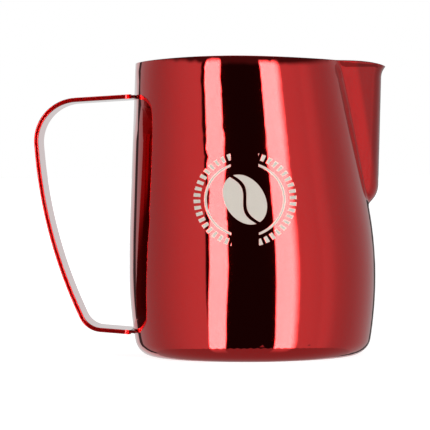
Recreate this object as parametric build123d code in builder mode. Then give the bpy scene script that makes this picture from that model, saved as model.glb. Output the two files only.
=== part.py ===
from build123d import *
from math import sqrt
import os

# A milk frothing pitcher: a drawn steel cup with a pressed spout, and a bent strap handle that
# is welded on at both ends. Millimetres, +Z up. The origin is the centre of the base, where it
# meets the table. The spout points to +X and the handle to -X.

os.makedirs("parts", exist_ok=True)

# ---- driving dimensions ---------------------------------------------------------------------

# Cup
cup_height = 110.0  # base to the highest point of the rim
wall = 0.9
belly_radius = 46.0
foot_radius = belly_radius - 3.1  # where the wall would meet the table if the base corner were sharp
belly_height = 30.0  # height of the widest point
turn_height = 22.5  # stretch above the belly over which the wall turns inwards
rim_radius = belly_radius - 7.1
rim_shift = 4.15  # how far the middle of the rim stands towards the handle
base_corner_radius = 7.0
rim_arch = 1.0  # how much lower the rim is at its two sides than at its middle
rim_edge_radius = 0.25

# Spout: a round-nosed channel with a ball end, pressed out of the cup's front
spout_length = 46.5  # middle of the rim down to the centre of the ball end
spout_depth = 4.9  # how far the ball end stands out of the wall
spout_lean = 0.033  # how far the front leans out for each millimetre of height
channel_radius = 9.0
mouth_radius = 7.5  # nose radius at the rim
root_half_angle = 22.0  # how far each side opens just above the ball end
mouth_half_angle = 28.0  # how far each side opens at the rim
mouth_drop = 0.9  # how much lower the rim is where the spout starts
crease_radius = 1.5  # outside radius where the spout meets the cup
lip_height = 6.5  # middle of the rim down to where the front starts to curl out
lip_curl = 1.6  # how far the tip curls out
lip_drop = 2.8  # how much lower the tip is than the middle of the rim

# Handle strap, measured along the middle of its thickness
strap_width = 22.0
strap_thickness = 1.6
strap_edge_radius = 0.4
strap_corner_radius = 2.5  # corners of its two ends
upper_joint_drop = 13.4  # middle of the rim down to the upper joint
upper_leg_length = 37.3  # cup wall out to the upper corner
upper_leg_fall = 2.0
upper_bend_radius = 15.4
grip_reach = 33.0  # cup wall at the upper joint out to the middle of the grip
grip_middle_height = 0.404 * cup_height
grip_bend_radius = 176.0  # the three bends must leave a little straight between them
lower_leg_length = 16.8  # cup wall out to the lower corner
lower_leg_rise = 1.4
lower_bend_radius = 8.4
lower_joint_height = 9.2

# Welds: a flat neck of weld metal between each cut end of the strap and the cup
weld_gap = 0.7  # from the end of the strap to the cup, at the middle of the weld
weld_width = 14.0
weld_height = 1.2

# ---- shape of the cup and the spout ---------------------------------------------------------

over_rim = 1.5  # how far both forms run on above the rim before it is trimmed
cup_steps = 19
spout_steps = 28
spout_base = cup_height - spout_length
clear_of_all = 60.0  # further than the cup reaches to either side


def turned_in(height):
    """How far the wall has turned inwards at a height, from 0 at the belly to 1 at the rim."""
    above = height - belly_height
    whole = cup_height - belly_height - turn_height / 2
    if above < turn_height:
        return max(above, 0) ** 2 / (2 * turn_height * whole)
    return (above - turn_height / 2) / whole


def cup_radius(height):
    """Outside radius of the cup at a height."""
    below = max(belly_height - height, 0) / belly_height
    foot_taper = (belly_radius - foot_radius) * below**2
    return belly_radius - foot_taper - (belly_radius - rim_radius) * turned_in(height)


def cup_middle(height):
    """X of the cup's middle at a height."""
    return -rim_shift * turned_in(height)


ball_front_x = cup_middle(spout_base) + cup_radius(spout_base) + spout_depth


def cup_form(inset):
    """The cup as a solid, with its surface moved in by inset."""
    with BuildPart() as form:
        for step in range(cup_steps + 1):
            height = inset + (cup_height + over_rim - inset) * step / cup_steps
            with BuildSketch(Plane.XY.offset(height)):
                with Locations((cup_middle(height), 0)):
                    Circle(cup_radius(height) - inset)
        loft()
        fillet(form.edges().group_by(Axis.Z)[0], base_corner_radius - inset)
    return form.part


def spout_form(inset):
    """The spout as a solid that reaches back into the cup, with its surface moved in by inset."""
    ball_radius = channel_radius - inset
    foot = spout_base - 0.93 * ball_radius
    with BuildPart() as form:
        for step in range(spout_steps + 1):
            height = foot + (cup_height + over_rim - foot) * step / spout_steps
            ball_slice = sqrt(ball_radius**2 - max(spout_base - height, 0) ** 2)
            risen = max(height - spout_base, 0) / spout_length
            half_angle = root_half_angle + (mouth_half_angle - root_half_angle) * risen
            narrowed = (channel_radius - mouth_radius) * risen
            curled = max(height - cup_height + lip_height, 0) / (lip_height - lip_drop)
            front = ball_front_x + spout_lean * spout_length * risen + lip_curl * curled**2
            nose_x = front - channel_radius + narrowed
            with BuildSketch(Plane.XY.offset(height)):
                with BuildLine():
                    nose = CenterArc((nose_x, 0), ball_slice - narrowed, half_angle - 90, 180 - 2 * half_angle)
                    far_side = PolarLine(nose @ 1, nose_x, 180 - half_angle, length_mode=LengthMode.HORIZONTAL)
                    near_side = PolarLine(nose @ 0, nose_x, 180 + half_angle, length_mode=LengthMode.HORIZONTAL)
                    Line(far_side @ 1, near_side @ 1)
                make_face()
        loft()
    return form.part


def pitcher_form(inset):
    """Cup and spout as one solid, with the crease between them rounded."""
    cup = cup_form(inset)
    spout = spout_form(inset)
    with BuildPart() as form:
        add(cup)
        add(spout)
        crease = form.edges(Select.NEW).filter_by(lambda edge: edge.bounding_box().size.Z > wall)
        fillet(crease, crease_radius + inset)
    return form.part


outer_form = pitcher_form(0)
inner_form = pitcher_form(wall)

# ---- body shell -----------------------------------------------------------------------------

rim_middle_x = cup_middle(cup_height)
lip_x = ball_front_x + spout_lean * (spout_length - lip_drop) + lip_curl

with BuildPart() as body_shell:
    add(outer_form)
    add(inner_form, mode=Mode.SUBTRACT)
    with BuildSketch(Plane.XZ.offset(-clear_of_all)):
        with BuildLine():
            rim_line = Spline(
                (rim_middle_x - 1.18 * rim_radius, cup_height - 1.38 * rim_arch),
                (rim_middle_x, cup_height),
                (rim_middle_x + 0.94 * rim_radius, cup_height - mouth_drop),
                (lip_x - 4, cup_height - lip_drop + 1.05),
                (lip_x, cup_height - lip_drop),
                (lip_x + 4, cup_height - lip_drop - 1.6),
            )
            Polyline(
                rim_line @ 0,
                (-clear_of_all, cup_height + clear_of_all),
                (2 * clear_of_all, cup_height + clear_of_all),
                (2 * clear_of_all, spout_base),
                rim_line @ 1,
            )
        make_face()
    extrude(amount=2 * clear_of_all, mode=Mode.SUBTRACT)
    fillet(body_shell.faces().sort_by(Axis.Z)[-1].edges(), rim_edge_radius)
body_shell.part.label = "body_shell"
export_step(body_shell.part, "parts/body_shell.step")

# ---- handle strap ---------------------------------------------------------------------------

upper_joint_height = cup_height - upper_joint_drop
upper_wall_x = cup_middle(upper_joint_height) - cup_radius(upper_joint_height)
lower_wall_x = cup_middle(lower_joint_height) - cup_radius(lower_joint_height)

with BuildPart() as handle_strap:
    with BuildLine(Plane.XZ):
        strap_path = FilletPolyline(
            (upper_wall_x - weld_gap, upper_joint_height),
            (upper_wall_x - upper_leg_length, upper_joint_height - upper_leg_fall),
            (upper_wall_x - grip_reach, grip_middle_height),
            (lower_wall_x - lower_leg_length, lower_joint_height + lower_leg_rise),
            (lower_wall_x - weld_gap, lower_joint_height),
            radius=[upper_bend_radius, grip_bend_radius, lower_bend_radius],
        )
    upper_end = Plane(origin=strap_path @ 0, x_dir=(0, 1, 0), z_dir=-(strap_path % 0))
    lower_end = Plane(origin=strap_path @ 1, x_dir=(0, 1, 0), z_dir=strap_path % 1)
    with BuildSketch(upper_end):
        RectangleRounded(strap_width, strap_thickness, strap_edge_radius)
    sweep(path=strap_path)
    # Both corners of each end are rounded off, seen from above the strap
    for end in (upper_end, lower_end):
        with BuildSketch(Plane(origin=end.origin, x_dir=end.z_dir, z_dir=end.y_dir)):
            Rectangle(2 * strap_corner_radius, 2 * strap_width)
            with Locations((-2 * strap_corner_radius, 0)):
                RectangleRounded(4 * strap_corner_radius, strap_width, strap_corner_radius, mode=Mode.SUBTRACT)
        extrude(amount=strap_thickness, both=True, mode=Mode.SUBTRACT)
handle_strap.part.label = "handle_strap"
export_step(handle_strap.part, "parts/handle_strap.step")

# ---- welds ----------------------------------------------------------------------------------

for name, end in (("upper_weld", upper_end), ("lower_weld", lower_end)):
    with BuildPart() as weld:
        with BuildSketch(end):
            SlotOverall(weld_width, weld_height)
        extrude(amount=4 * weld_gap)
        add(outer_form, mode=Mode.SUBTRACT)
    weld.part.label = name
    export_step(weld.part, f"parts/{name}.step")
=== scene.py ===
import logging
import math
from dataclasses import dataclass, field
from enum import Enum
from typing import Iterable, Optional, Union

import bpy
from mathutils import Matrix, Vector


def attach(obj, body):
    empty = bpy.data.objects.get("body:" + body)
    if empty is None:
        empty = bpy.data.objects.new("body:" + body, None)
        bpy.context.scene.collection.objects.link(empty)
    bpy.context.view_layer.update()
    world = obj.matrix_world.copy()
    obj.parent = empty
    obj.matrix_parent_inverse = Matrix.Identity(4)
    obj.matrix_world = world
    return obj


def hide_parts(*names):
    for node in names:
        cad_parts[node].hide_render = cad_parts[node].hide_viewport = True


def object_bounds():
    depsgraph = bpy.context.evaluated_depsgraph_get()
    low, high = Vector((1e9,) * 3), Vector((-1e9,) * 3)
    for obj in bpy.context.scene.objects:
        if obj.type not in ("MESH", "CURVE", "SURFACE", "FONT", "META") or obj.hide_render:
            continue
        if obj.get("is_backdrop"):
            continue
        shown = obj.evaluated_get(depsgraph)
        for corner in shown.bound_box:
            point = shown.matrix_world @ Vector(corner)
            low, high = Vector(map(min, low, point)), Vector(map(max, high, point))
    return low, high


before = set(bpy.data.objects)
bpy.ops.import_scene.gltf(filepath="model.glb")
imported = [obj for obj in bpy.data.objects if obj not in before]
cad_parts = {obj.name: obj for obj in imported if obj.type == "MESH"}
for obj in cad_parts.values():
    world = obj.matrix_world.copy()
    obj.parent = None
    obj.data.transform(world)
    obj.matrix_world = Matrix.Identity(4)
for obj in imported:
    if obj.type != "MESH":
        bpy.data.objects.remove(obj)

LOG = logging.getLogger("milk_pitcher")
Colour = tuple[float, float, float]
Number = Union[int, float]
Span = tuple[float, float]
MM_PER_METRE = 1000.0
DEGREES = 180.0 / math.pi


# --------------------------------------------------------------------------
# Shader maths
# --------------------------------------------------------------------------

class Value:
    """A number that changes over a surface: one output socket with arithmetic."""

    def __init__(self, graph: "Graph", socket: bpy.types.NodeSocket) -> None:
        """Wrap a socket.

        Args:
            graph: The node graph that the socket belongs to.
            socket: The output socket that carries the number.
        """
        self.graph = graph
        self.socket = socket

    def _math(self, operation: str, *parts: "Operand") -> "Value":
        """Add one Math node and return its result."""
        return self.graph.math(operation, *parts)

    def __add__(self, other: "Operand") -> "Value":
        """Return self + other."""
        return self._math("ADD", self, other)

    def __radd__(self, other: "Operand") -> "Value":
        """Return other + self."""
        return self._math("ADD", other, self)

    def __sub__(self, other: "Operand") -> "Value":
        """Return self - other."""
        return self._math("SUBTRACT", self, other)

    def __rsub__(self, other: "Operand") -> "Value":
        """Return other - self."""
        return self._math("SUBTRACT", other, self)

    def __mul__(self, other: "Operand") -> "Value":
        """Return self * other."""
        return self._math("MULTIPLY", self, other)

    def __rmul__(self, other: "Operand") -> "Value":
        """Return other * self."""
        return self._math("MULTIPLY", other, self)

    def __truediv__(self, other: "Operand") -> "Value":
        """Return self / other."""
        return self._math("DIVIDE", self, other)

    def __neg__(self) -> "Value":
        """Return -self."""
        return self._math("MULTIPLY", self, -1.0)

    def __pow__(self, other: "Operand") -> "Value":
        """Return self ** other."""
        return self._math("POWER", self, other)

    def absolute(self) -> "Value":
        """Return the size of the number without its sign."""
        return self._math("ABSOLUTE", self)

    def sine(self) -> "Value":
        """Return the sine of an angle in radians."""
        return self._math("SINE", self)

    def larger(self, other: "Operand") -> "Value":
        """Return the larger of two numbers."""
        return self._math("MAXIMUM", self, other)

    def smaller(self, other: "Operand") -> "Value":
        """Return the smaller of two numbers."""
        return self._math("MINIMUM", self, other)

    def rise(self, start: Number, end: Number) -> "Value":
        """Return 0 before start and 1 after end, with a smooth step between.

        Args:
            start: Where the step begins; it may be above end for a fall.
            end: Where the step ends.

        Returns:
            The smooth step.
        """
        flip = start > end
        low, high = (end, start) if flip else (start, end)
        node = self.graph.node(
            "ShaderNodeMapRange",
            {"interpolation_type": "SMOOTHSTEP"},
            {"Value": self, "From Min": low, "From Max": high,
             "To Min": 1.0 if flip else 0.0, "To Max": 0.0 if flip else 1.0})
        return Value(self.graph, node.outputs["Result"])


Operand = Union[Value, Number]
Link = Union[Value, bpy.types.NodeSocket, Number, tuple, Vector]


class Graph:
    """The nodes of one material or world, added by a few short calls."""

    def __init__(self, tree: bpy.types.NodeTree) -> None:
        """Start from an empty node tree.

        Args:
            tree: The tree, whose nodes are removed.
        """
        self.tree = tree
        tree.nodes.clear()

    def node(self, kind: str, settings: Optional[dict] = None,
             sockets: Optional[dict] = None) -> bpy.types.Node:
        """Add a node, set it up and feed its sockets.

        Args:
            kind: The node's type.
            settings: Properties, which are set first.
            sockets: Input names or numbers with their values or links.

        Returns:
            The new node.
        """
        made = self.tree.nodes.new(kind)
        for name, setting in (settings or {}).items():
            setattr(made, name, setting)
        for name, given in (sockets or {}).items():
            self._feed(made.inputs[name], given)
        return made

    def _feed(self, socket: bpy.types.NodeSocket, given: Link) -> None:
        """Link or set one input socket."""
        if isinstance(given, Value):
            self.tree.links.new(given.socket, socket)
        elif isinstance(given, bpy.types.NodeSocket):
            self.tree.links.new(given, socket)
        elif isinstance(given, (tuple, Vector)) and socket.type == "RGBA":
            socket.default_value = (*given[:3], 1.0)
        else:
            socket.default_value = given

    def math(self, operation: str, *parts: Operand) -> Value:
        """Add one Math node.

        Args:
            operation: The Math node's operation.
            parts: One to three numbers or values.

        Returns:
            Its result.
        """
        made = self.node("ShaderNodeMath", {"operation": operation},
                         dict(enumerate(parts)))
        return Value(self, made.outputs[0])

    def place(self, space: str = "Object") -> tuple[bpy.types.NodeSocket, Value, Value, Value]:
        """Return the coordinate vector and its three parts.

        Args:
            space: The output of the Texture Coordinate node.

        Returns:
            The vector's socket, and x, y and z.
        """
        where = self.node("ShaderNodeTexCoord").outputs[space]
        parts = self.node("ShaderNodeSeparateXYZ", None, {0: where}).outputs
        return where, Value(self, parts[0]), Value(self, parts[1]), Value(self, parts[2])

    def point(self, x: Operand, y: Operand, z: Operand) -> bpy.types.NodeSocket:
        """Return a vector made of three numbers."""
        return self.node("ShaderNodeCombineXYZ", None, {0: x, 1: y, 2: z}).outputs[0]

    def noise(self, where: bpy.types.NodeSocket, scale: float, detail: float = 3.0,
              roughness: float = 0.5) -> Value:
        """Return a noise between about 0 and 1.

        Args:
            where: The coordinates.
            scale: Waves per unit of the coordinates.
            detail: Octaves.
            roughness: How strong the finer octaves are.

        Returns:
            The noise.
        """
        made = self.node("ShaderNodeTexNoise", None,
                         {"Vector": where, "Scale": scale, "Detail": detail,
                          "Roughness": roughness})
        return Value(self, made.outputs["Fac"])

    def blend(self, amount: Operand, first: Link, second: Link) -> bpy.types.NodeSocket:
        """Return a colour between two colours.

        Args:
            amount: 0 for the first colour and 1 for the second.
            first: The first colour.
            second: The second colour.

        Returns:
            The mixed colour's socket.
        """
        made = self.node("ShaderNodeMix", {"data_type": "RGBA"},
                         {0: amount, 6: first, 7: second})
        return made.outputs[2]

    def bump(self, height: Value, strength: float, distance: float) -> bpy.types.NodeSocket:
        """Return a bumped normal.

        Args:
            height: The height over the surface.
            strength: How much of the bump is used, from 0 to 1.
            distance: How far a height of 1 stands out, in metres.

        Returns:
            The normal's socket.
        """
        made = self.node("ShaderNodeBump", None,
                         {"Height": height, "Strength": strength, "Distance": distance})
        return made.outputs["Normal"]

    def surface(self, **sockets: Link) -> None:
        """Add the Principled shader and the output.

        Args:
            sockets: Its inputs, with "_" for each space in a name.
        """
        shader = self.node("ShaderNodeBsdfPrincipled", None,
                           {name.replace("_", " "): given for name, given in sockets.items()})
        self.node("ShaderNodeOutputMaterial", None, {"Surface": shader.outputs[0]})


def shade(colour: Colour, amount: float) -> Colour:
    """Return a colour made lighter or darker by a factor, up to full."""
    return tuple(min(1.0, amount * part) for part in colour)


def new_material(name: str) -> tuple[bpy.types.Material, Graph]:
    """Make an empty material.

    Args:
        name: The material's name.

    Returns:
        The material and its graph.
    """
    material = bpy.data.materials.new(name)
    material.use_nodes = True
    return material, Graph(material.node_tree)


# --------------------------------------------------------------------------
# Finishes
# --------------------------------------------------------------------------

@dataclass(frozen=True)
class Badge:
    """A generic coffee bean in a ring, etched through the coat.

    Lengths are in millimetres, from the badge's middle.
    """

    middle_x: float = -0.002
    middle_z: float = 0.0585
    width_ratio: float = 1.08
    bean_half_width: float = 6.6
    bean_half_height: float = 9.4
    bean_turn: float = math.radians(28)
    slit_half_width: float = 0.62
    slit_swing: float = 1.7
    slit_wave: float = 0.33
    inner_ring: float = 13.0
    inner_ring_half: float = 0.42
    outer_ring: float = 15.9
    outer_ring_half: float = 1.15
    beads: int = 44
    ring_opening: float = 4.6
    edge: float = 0.12
    oval_edge: Span = (1.03, 0.99)
    bead_edge: Span = (-0.35, 0.05)
    front_edge: Span = (0.0, -0.002)

    def mask(self, graph: Graph, x: Value, y: Value, z: Value) -> Value:
        """Return 1 on the etched marks and 0 elsewhere.

        Args:
            graph: The material's graph.
            x: Object coordinate.
            y: Object coordinate.
            z: Object coordinate.

        Returns:
            The mask.
        """
        u = (x - self.middle_x) * (MM_PER_METRE / self.width_ratio)
        v = (z - self.middle_z) * MM_PER_METRE
        cosine, sine = math.cos(self.bean_turn), math.sin(self.bean_turn)
        across = u * cosine + v * sine
        along = v * cosine - u * sine
        oval = ((across / self.bean_half_width) ** 2 + (along / self.bean_half_height) ** 2)
        bean = oval.rise(*self.oval_edge)
        slit = (across - (along * self.slit_wave).sine() * self.slit_swing).absolute()
        bean = bean * slit.rise(self.slit_half_width - self.edge,
                                self.slit_half_width + self.edge)
        radius = (u * u + v * v) ** 0.5
        inner = (radius - self.inner_ring).absolute().rise(
            self.inner_ring_half + self.edge, self.inner_ring_half - self.edge)
        outer = (radius - self.outer_ring).absolute().rise(
            self.outer_ring_half + self.edge, self.outer_ring_half - self.edge)
        turn = graph.math("ARCTAN2", v, u)
        beads = (turn * float(self.beads)).sine().rise(*self.bead_edge)
        opening = u.absolute().rise(self.ring_opening - self.edge,
                                    self.ring_opening + self.edge)
        rings = inner.larger(outer * beads) * opening
        return bean.larger(rings) * y.rise(*self.front_edge)


@dataclass(frozen=True)
class RedCoat:
    """Transparent red coat over mirror-polished steel."""

    name: str = "red_coat_polished"
    colour: Colour = (0.68, 0.0032, 0.0030)
    colour_drift: float = 0.04
    worn_colour: Colour = (0.74, 0.030, 0.026)
    etched_colour: Colour = (0.47, 0.43, 0.38)
    etched_drift: float = 0.07
    roughness: float = 0.045
    coat_index: float = 1.44
    coat_roughness: float = 0.015
    ripple: float = 0.000012
    line_scale: Span = (40.0, 900.0)
    cloud_scale: float = 28.0
    speck_scale: float = 900.0
    speck_edge: Span = (0.66, 0.80)
    scratch_scale: tuple[float, float, float] = (900.0, 260.0, 60.0)
    scratch_edge: Span = (0.70, 0.74)
    rub_height: Span = (0.0016, 0.0002)
    rub_edge: Span = (0.42, 0.62)
    rub_colour: float = 0.6
    turning_scale: float = 5200.0
    turning_height: Span = (0.0006, 0.0001)
    # Painted shade on the spout: a factor on the coat's colour that stands in for darker
    # reflections there.
    painted_spout_shade: float = 0.64
    spout_slope: float = 0.16
    spout_top: float = 0.11
    spout_side: Span = (0.0378, 0.0400)
    spout_foot: Span = (0.054, 0.060)
    etch_grain_scale: float = 2600.0
    etch_roughness: float = 0.50
    etch_metal_loss: float = 0.85
    etch_depth: float = 1.2
    edge_zone: Span = (0.0101, 0.0107)
    edge_roughness: float = 0.20
    badge: Optional[Badge] = None

    def material(self) -> bpy.types.Material:
        """Return the material, made on first use."""
        made = bpy.data.materials.get(self.name)
        if made:
            return made
        made, graph = new_material(self.name)
        where, x, y, z = graph.place()
        # Long, shallow polishing lines that run around the wall.
        around, upward = self.line_scale
        lines = graph.noise(graph.point(x * around, y * around, z * upward), 1.0, 4.0, 0.6)
        clouds = graph.noise(where, self.cloud_scale, 3.0, 0.5)
        specks = graph.noise(where, self.speck_scale, 2.0, 0.5)
        across, slant, along = self.scratch_scale
        scratch = graph.noise(graph.point(x * across + z * slant, y * across, z * along),
                              1.0, 2.0, 0.5).rise(*self.scratch_edge)
        # The standing edge of the base rubs through to a lighter red.
        radius = (x * x + y * y) ** 0.5
        rub = z.rise(*self.rub_height) * clouds.rise(*self.rub_edge)
        rings = (radius * self.turning_scale).sine() * z.rise(*self.turning_height)
        colour = graph.blend(clouds, shade(self.colour, 1.0 - self.colour_drift),
                             shade(self.colour, 1.0 + self.colour_drift))
        colour = graph.blend(rub * self.rub_colour, colour, self.worn_colour)
        roughness = (self.roughness + (clouds - 0.5) * 0.02
                     + specks.rise(*self.speck_edge) * 0.03 + scratch * 0.03 + rub * 0.12)
        metallic: Operand = 1.0
        coat: Operand = 1.0 - rub * self.rub_colour
        height = lines * 0.05 + clouds * 0.6 + rings * 0.8 - scratch * 0.03
        if self.badge:
            # Painted shade: the spout's side panels are darkened in the coat's colour, standing
            # in for the darker studio they would mirror.
            painted_shade_mask = ((z - self.spout_top) * self.spout_slope + x).rise(*self.spout_side)
            painted_shade_mask = painted_shade_mask * z.rise(*self.spout_foot)
            colour = graph.blend(painted_shade_mask, colour, shade(self.colour, self.painted_spout_shade))
            mark = self.badge.mask(graph, x, y, z)
            grain = graph.noise(where, self.etch_grain_scale, 2.0, 0.6)
            etched = graph.blend(grain, shade(self.etched_colour, 1.0 - self.etched_drift),
                                 shade(self.etched_colour, 1.0 + self.etched_drift))
            colour = graph.blend(mark, colour, etched)
            roughness = roughness + mark * (self.etch_roughness + grain * 0.08)
            metallic = 1.0 - mark * self.etch_metal_loss
            coat = coat * (1.0 - mark)
            height = height - mark * self.etch_depth
        else:
            # The sheared edges of the strap are ground, not polished.
            edge = y.absolute().rise(*self.edge_zone)
            roughness = roughness + edge * (self.edge_roughness + specks * 0.10)
        graph.surface(Base_Color=colour, Metallic=metallic, Roughness=roughness,
                      Coat_Weight=coat, Coat_Roughness=self.coat_roughness,
                      Coat_IOR=self.coat_index,
                      Normal=graph.bump(height, 1.0, self.ripple))
        return made


@dataclass(frozen=True)
class BrushedSteel:
    """Bare stainless steel, spun and brushed around its axis."""

    name: str = "bare_steel_brushed"
    colour: Colour = (0.60, 0.585, 0.565)
    roughness: float = 0.24
    groove: float = 0.00004
    floor_zone: Span = (0.0032, 0.0016)
    brush_scale: Span = (30.0, 6000.0)
    cloud_scale: float = 35.0
    spot_scale: float = 160.0
    spot_edge: Span = (0.62, 0.78)
    spot_colour: Colour = (0.47, 0.44, 0.41)
    spot_strength: float = 0.25

    def material(self) -> bpy.types.Material:
        """Return the material, made on first use."""
        made = bpy.data.materials.get(self.name)
        if made:
            return made
        made, graph = new_material(self.name)
        where, x, y, z = graph.place()
        radius = (x * x + y * y) ** 0.5
        # Around the wall the brush marks follow z, on the floor they follow the radius.
        across = z + radius * z.rise(*self.floor_zone)
        along, fine = self.brush_scale
        brush = graph.noise(graph.point(x * along, y * along, across * fine), 1.0, 4.0, 0.65)
        clouds = graph.noise(where, self.cloud_scale, 3.0, 0.5)
        spots = graph.noise(where, self.spot_scale, 4.0, 0.6).rise(*self.spot_edge)
        colour = graph.blend(brush * 0.6 + clouds * 0.4,
                             shade(self.colour, 0.88), shade(self.colour, 1.10))
        colour = graph.blend(spots * self.spot_strength, colour, self.spot_colour)
        graph.surface(Base_Color=colour, Metallic=1.0,
                      Roughness=self.roughness + brush * 0.12 + spots * 0.06,
                      Normal=graph.bump(brush * 0.8 + clouds * 0.2, 0.6, self.groove))
        return made


@dataclass(frozen=True)
class WeldCoat:
    """Red coat over a weld: rippled, less polished metal with heat shading."""

    name: str = "red_coat_weld"
    colour: Colour = (0.42, 0.0045, 0.004)
    heat_colour: Colour = (0.20, 0.010, 0.012)
    roughness: float = 0.26
    ripple_pitch: float = 0.0011
    ripple: float = 0.00012
    wobble_scale: float = 420.0
    wobble_reach: float = 2.4
    heat_scale: float = 120.0
    heat_edge: Span = (0.40, 0.68)
    coat_roughness: float = 0.08
    coat_index: float = 1.44

    def material(self) -> bpy.types.Material:
        """Return the material, made on first use."""
        made = bpy.data.materials.get(self.name)
        if made:
            return made
        made, graph = new_material(self.name)
        where, x, y, z = graph.place()
        wobble = graph.noise(where, self.wobble_scale, 3.0, 0.6)
        beads = (y * (math.tau / self.ripple_pitch) + wobble * self.wobble_reach).sine()
        heat = graph.noise(where, self.heat_scale, 2.0, 0.5).rise(*self.heat_edge)
        colour = graph.blend(heat, self.colour, self.heat_colour)
        graph.surface(Base_Color=colour, Metallic=1.0,
                      Roughness=self.roughness + wobble * 0.14 - beads * 0.04,
                      Coat_Weight=0.8 - heat * 0.3, Coat_Roughness=self.coat_roughness,
                      Coat_IOR=self.coat_index,
                      Normal=graph.bump(beads * 0.5 + wobble * 0.5, 0.8, self.ripple))
        return made


# --------------------------------------------------------------------------
# Pieces
# --------------------------------------------------------------------------

class Side(Enum):
    """The two sides of the pressed wall, by the number of their material slot."""

    OUTSIDE = 0
    INSIDE = 1


def select_only(piece: bpy.types.Object) -> None:
    """Deselect everything, then select one object and make it active."""
    bpy.ops.object.select_all(action="DESELECT")
    piece.select_set(True)
    bpy.context.view_layer.objects.active = piece


def dress(piece: bpy.types.Object, *materials: bpy.types.Material) -> None:
    """Give a piece its material slots, in order."""
    piece.data.materials.clear()
    for material in materials:
        piece.data.materials.append(material)


@dataclass
class PitcherBody:
    """The pressed cup with its pouring spout: red outside and bare steel inside."""

    node: str = "body_shell"
    name: str = "pitcher_body"
    merge_distance: float = 1e-6
    inside_floor: float = 0.0045
    level_face: float = 0.8
    outside: RedCoat = field(default_factory=lambda: RedCoat(badge=Badge()))
    inside: BrushedSteel = field(default_factory=BrushedSteel)

    def build(self) -> bpy.types.Object:
        """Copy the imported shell, merge its loose triangles and part its two sides.

        Returns:
            The body piece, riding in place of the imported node.
        """
        select_only(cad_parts[self.node])
        bpy.ops.object.duplicate()
        body = bpy.context.active_object
        body.name = body.data.name = self.name
        body.hide_render = False
        bpy.ops.object.mode_set(mode="EDIT")
        bpy.ops.mesh.select_all(action="SELECT")
        bpy.ops.mesh.remove_doubles(threshold=self.merge_distance)
        bpy.ops.object.mode_set(mode="OBJECT")
        dress(body, self.outside.material(), self.inside.material())
        for face in body.data.polygons:
            face.material_index = self._side(face.center, face.normal).value
        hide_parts(self.node)
        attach(body, "root")
        return body

    def _side(self, middle: Vector, normal: Vector) -> Side:
        """Tell which side of the wall a face is on.

        Args:
            middle: The face's middle.
            normal: The face's outward direction.

        Returns:
            The side.
        """
        if normal.z > self.level_face and middle.z < self.inside_floor:
            return Side.INSIDE
        outward = middle.x * normal.x + middle.y * normal.y
        return Side.INSIDE if outward < 0.0 else Side.OUTSIDE


@dataclass
class HandleStrap:
    """The bent flat strap that is the handle."""

    node: str = "handle_strap"
    finish: RedCoat = field(default_factory=lambda: RedCoat(name="red_coat_strap"))

    def build(self) -> bpy.types.Object:
        """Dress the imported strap.

        Returns:
            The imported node.
        """
        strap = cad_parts[self.node]
        dress(strap, self.finish.material())
        return strap


@dataclass
class Welds:
    """The two short necks that join the strap's ends to the wall."""

    nodes: tuple[str, ...] = ("upper_weld", "lower_weld")
    finish: WeldCoat = field(default_factory=WeldCoat)

    def build(self) -> list[bpy.types.Object]:
        """Dress both packed welds.

        Returns:
            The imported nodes.
        """
        welds = [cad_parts[name] for name in self.nodes]
        for weld in welds:
            dress(weld, self.finish.material())
        return welds


# --------------------------------------------------------------------------
# Studio
# --------------------------------------------------------------------------

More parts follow.
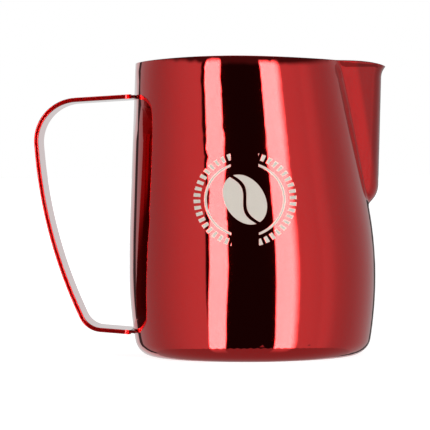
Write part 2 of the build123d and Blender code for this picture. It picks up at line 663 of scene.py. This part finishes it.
@dataclass
class Studio:
    """A pale floor, two tall soft strip lights, white surroundings and a camera."""

    floor_size: float = 40.0
    floor_glow: float = 0.90
    floor_colour: Colour = (0.55, 0.55, 0.55)
    floor_gap: float = 0.0002
    strip_level: float = 9.4
    left_strip: tuple[float, float, float, float] = (-39.6, -37.8, -22.6, -20.4)
    right_strip: tuple[float, float, float, float] = (21.6, 23.8, 37.0, 46.5)
    left_lean: float = 0.22
    strip_foot: Span = (-33.0, -30.5)
    strip_head: Span = (30.0, 20.0)
    wall_foot: Span = (-33.5, -31.0)
    wall_head: Span = (26.0, 17.0)
    floor_level: float = 0.33
    floor_shine: float = 0.5
    shine_foot: float = -62.0
    dark_level: float = 0.07
    overhead_level: float = 1.0
    overhead_foot: Span = (58.0, 66.0)
    wall_near: float = 0.72
    wall_side: float = 0.41
    wall_fall: Span = (45.0, 110.0)
    wall_back: float = 0.66
    back_left: Span = (-144.0, -150.0)
    back_right: Span = (163.0, 169.0)
    left_gap: tuple[float, float, float, float] = (-149.0, -147.5, -140.5, -139.0)
    right_gap: tuple[float, float, float, float] = (157.5, 159.0, 166.0, 167.5)
    gap_level: float = 0.05
    front_gap: tuple[float, float, float, float] = (-44.0, -42.0, 22.0, 44.0)
    front_level: float = 0.012
    faint_strip: tuple[float, float, float, float] = (65.0, 72.0, 76.0, 88.0)
    faint_level: float = 0.08
    camera_place: tuple[float, float, float] = (0.0112, -0.8976, 0.0691)
    camera_heading: float = math.radians(1.6)
    camera_dip: float = math.radians(1.074)
    camera_roll: float = -0.008
    lens: float = 200.9

    def build(self) -> None:
        """Make the floor, the surroundings and the camera."""
        self._floor()
        self._surroundings()
        self._camera()

    def _floor(self) -> None:
        """Add the floor: it is left out of mirror images, which see open studio."""
        bpy.ops.object.select_all(action="DESELECT")
        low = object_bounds()[0]
        bpy.ops.mesh.primitive_plane_add(size=self.floor_size,
                                         location=(0.0, 0.0, low[2] - self.floor_gap))
        floor = bpy.context.active_object
        floor.name = "floor"
        material, graph = new_material("pale_floor")
        cover = graph.node("ShaderNodeBsdfDiffuse", None, {"Color": self.floor_colour})
        glow = graph.node("ShaderNodeEmission", None, {"Color": (1.0, 1.0, 1.0),
                                                       "Strength": self.floor_glow})
        both = graph.node("ShaderNodeAddShader", None,
                          {0: cover.outputs[0], 1: glow.outputs[0]})
        graph.node("ShaderNodeOutputMaterial", None, {"Surface": both.outputs[0]})
        dress(floor, material)
        floor.visible_glossy = False
        floor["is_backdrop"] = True

    def _surroundings(self) -> None:
        """Paint the studio by direction: pale walls with dark gaps, and two strips."""
        world = bpy.data.worlds.new("studio")
        world.use_nodes = True
        bpy.context.scene.world = world
        graph = Graph(world.node_tree)
        _, x, y, z = graph.place("Generated")
        turn = graph.math("ARCTAN2", x, -y) * DEGREES
        height = graph.math("ARCSINE", z) * DEGREES
        walls = self._walls(turn)
        leaning = turn - height.smaller(0.0) * self.left_lean
        strips = self._band(leaning, self.left_strip).larger(self._band(turn, self.right_strip))
        lit = strips * height.rise(*self.strip_foot) * height.rise(*self.strip_head)
        fade = height.rise(self.shine_foot, self.wall_foot[0])
        shine = strips * fade * self.floor_shine
        below = height.rise(self.wall_foot[1], self.wall_foot[0])
        between = height.rise(*self.wall_head) * (1.0 - below)
        dark = (1.0 - between) * (1.0 - below)
        level = walls * between + (shine + self.floor_level) * below + dark * self.dark_level
        overhead = height.rise(*self.overhead_foot) * self.overhead_level
        level = level + lit * self.strip_level + overhead
        ray = graph.node("ShaderNodeLightPath").outputs["Is Camera Ray"]
        seen = Value(graph, ray)
        level = level * (1.0 - seen) + seen
        back = graph.node("ShaderNodeBackground", None,
                          {"Color": (1.0, 1.0, 1.0), "Strength": level})
        graph.node("ShaderNodeOutputWorld", None, {"Surface": back.outputs[0]})

    def _walls(self, turn: Value) -> Value:
        """Return the walls' brightness by direction around the object.

        Args:
            turn: Degrees from the front, growing towards the spout.

        Returns:
            The level, without the two strips.
        """
        fall = turn.absolute().rise(*self.wall_fall)
        level = fall * (self.wall_side - self.wall_near) + self.wall_near
        level = level + self._band(turn, self.faint_strip) * self.faint_level
        back = turn.rise(*self.back_left) + turn.rise(*self.back_right)
        level = level * (1.0 - back) + back * self.wall_back
        gaps = self._band(turn, self.left_gap) + self._band(turn, self.right_gap)
        level = level * (1.0 - gaps) + gaps * self.gap_level
        front = self._band(turn, self.front_gap)
        return level * (1.0 - front) + front * self.front_level

    @staticmethod
    def _band(turn: Value, edges: tuple[float, float, float, float]) -> Value:
        """Return 1 between the two inner edges and 0 outside the outer ones."""
        return turn.rise(edges[0], edges[1]) * turn.rise(edges[3], edges[2])

    def _camera(self) -> None:
        """Add the camera at the front, level with the cup."""
        lens = bpy.data.cameras.new("camera")
        lens.lens = self.lens
        lens.sensor_width = 36.0
        lens.clip_end = 100.0
        camera = bpy.data.objects.new("camera", lens)
        bpy.context.collection.objects.link(camera)
        camera.matrix_world = (Matrix.Translation(self.camera_place)
                               @ Matrix.Rotation(self.camera_heading, 4, "Z")
                               @ Matrix.Rotation(math.pi / 2 - self.camera_dip, 4, "X")
                               @ Matrix.Rotation(self.camera_roll, 4, "Z"))
        bpy.context.scene.camera = camera


def main() -> None:
    logging.basicConfig(level=logging.INFO, format="%(name)s: %(message)s")
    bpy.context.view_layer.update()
    body = PitcherBody().build()
    LOG.info("%s: %d faces", body.name, len(body.data.polygons))
    strap = HandleStrap().build()
    LOG.info("%s: %d faces", strap.name, len(strap.data.polygons))
    for weld in Welds().build():
        LOG.info("%s: %d faces", weld.name, len(weld.data.polygons))
    Studio().build()
    bpy.context.scene.view_settings.view_transform = "Standard"


if __name__ == "__main__":
    main()
